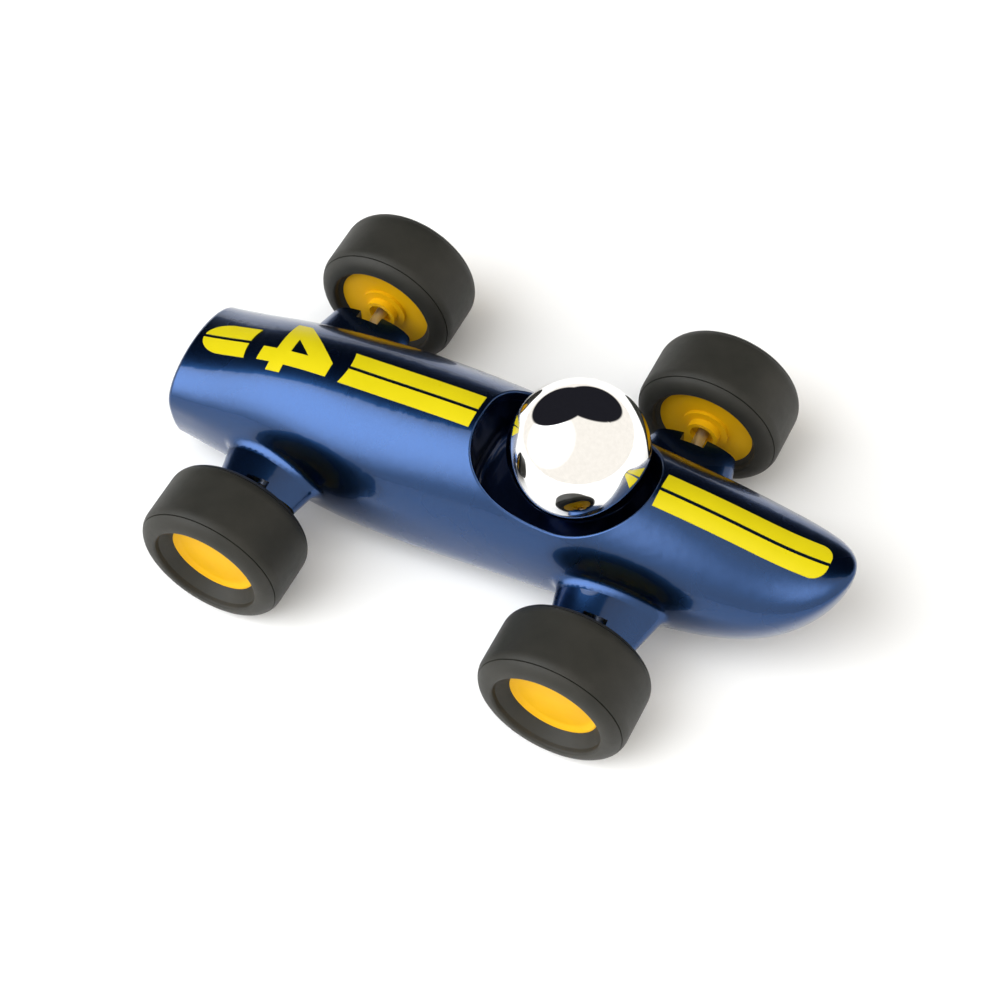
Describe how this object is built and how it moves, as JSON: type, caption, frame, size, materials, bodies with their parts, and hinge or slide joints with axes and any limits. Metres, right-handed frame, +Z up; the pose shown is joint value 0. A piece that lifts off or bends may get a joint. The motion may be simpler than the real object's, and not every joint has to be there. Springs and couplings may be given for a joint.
{
  "type": "push-along toy racing car",
  "caption": "Push-along toy racing car with a hollow cigar-shaped body, open cockpit, ball driver's head and two free-rolling wheelsets.",
  "frame": {"origin": "on the ground, under the middle of the body's length", "axes": "+Z up, nose towards -X, left side towards -Y"},
  "size_m": [0.176, 0.1088, 0.0617],
  "materials": {
    "body_paint": "gloss metallic lacquer",
    "tub_paint": "gloss",
    "body_plastic": "matt",
    "head_chrome": "mirror",
    "neck_plastic": "matt",
    "steel": "satin",
    "tyre": "matt",
    "hub": "satin",
    "bush_plastic": "matt",
    "graphics": "gloss"
  },
  "bodies": {
    "car_body": {"body_shell": "body_paint", "underbody_plate": "body_plastic", "cockpit_tub": "tub_paint", "driver_head": "head_chrome", "driver_neck": "neck_plastic", "head_washer": "steel", "head_screw": "steel", "underbody_screws": "steel", "nose_stripes": "graphics", "race_number": "graphics", "front_stripes": "graphics", "rear_stripes": "graphics", "front_left_bush": "bush_plastic", "front_right_bush": "bush_plastic", "rear_left_bush": "bush_plastic", "rear_right_bush": "bush_plastic"},
    "front_wheelset": {"front_axle": "steel", "front_axle_retainers": "steel", "front_left_hub": "hub", "front_left_tyre": "tyre", "front_right_hub": "hub", "front_right_tyre": "tyre"},
    "rear_wheelset": {"rear_axle": "steel", "rear_axle_retainers": "steel", "rear_left_hub": "hub", "rear_left_tyre": "tyre", "rear_right_hub": "hub", "rear_right_tyre": "tyre"}
  },
  "joints": [
    {"name": "front_axle_spin", "type": "hinge", "parent": "car_body", "child": "front_wheelset", "pos_m": [-0.05475, 0, 0.019], "axis": [0, 1, 0], "continuous": true},
    {"name": "rear_axle_spin", "type": "hinge", "parent": "car_body", "child": "rear_wheelset", "pos_m": [0.03625, 0, 0.019], "axis": [0, 1, 0], "continuous": true}
  ]
}
